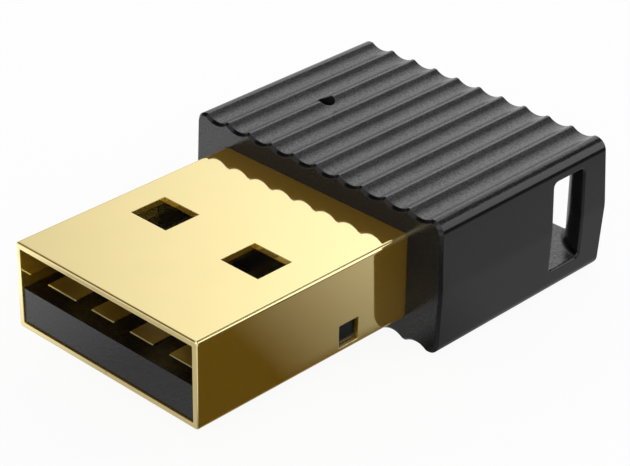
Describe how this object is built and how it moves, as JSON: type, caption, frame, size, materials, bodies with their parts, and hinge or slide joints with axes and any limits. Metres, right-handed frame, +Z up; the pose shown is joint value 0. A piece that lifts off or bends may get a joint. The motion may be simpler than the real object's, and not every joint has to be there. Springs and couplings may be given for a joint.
{
  "type": "usb bluetooth adapter",
  "caption": "Short USB radio adapter: gold folded plug shell with contact tongue, ridged black moulded case, lamp hole and a cord passage round one rear corner.",
  "frame": {"origin": "on the plug's centreline, in the plane of the case's front face", "axes": "-Y towards the plug's nose, +Z up through the ridged top, +X to the right as seen from the plug's nose end looking at the rear with the top up"},
  "size_m": [0.0164, 0.0253, 0.007],
  "materials": {
    "case_plastic": "fine-grained black moulding",
    "shell_gold": "polished gold plating",
    "carrier_plastic": "grained black moulding",
    "contact_gold": "plated, worn smooth",
    "board_laminate": "lacquered laminate",
    "chip_resin": "moulded resin",
    "crystal_metal": "metal lid",
    "lamp_resin": "clear resin",
    "aerial_ceramic": "fired ceramic",
    "small_chip_ceramic": "fired ceramic with tinned ends"
  },
  "bodies": {
    "root": {"case": "case_plastic", "plug_carrier": "carrier_plastic", "plug_shell": "shell_gold", "circuit_board": "board_laminate", "radio_chip": "chip_resin", "memory_chip": "chip_resin", "voltage_regulator": "chip_resin", "crystal": "crystal_metal", "indicator_lamp": "lamp_resin", "aerial": "aerial_ceramic", "contact_power": "contact_gold", "contact_data_minus": "contact_gold", "contact_data_plus": "contact_gold", "contact_ground": "contact_gold", "lamp_resistor": "small_chip_ceramic", "data_minus_resistor": "small_chip_ceramic", "data_plus_resistor": "small_chip_ceramic", "crystal_capacitor_1": "small_chip_ceramic", "crystal_capacitor_2": "small_chip_ceramic", "aerial_inductor": "small_chip_ceramic", "aerial_capacitor": "small_chip_ceramic", "supply_bead": "small_chip_ceramic", "filter_capacitor_1": "small_chip_ceramic", "filter_capacitor_2": "small_chip_ceramic", "filter_capacitor_3": "small_chip_ceramic", "filter_capacitor_4": "small_chip_ceramic"}
  },
  "joints": []
}
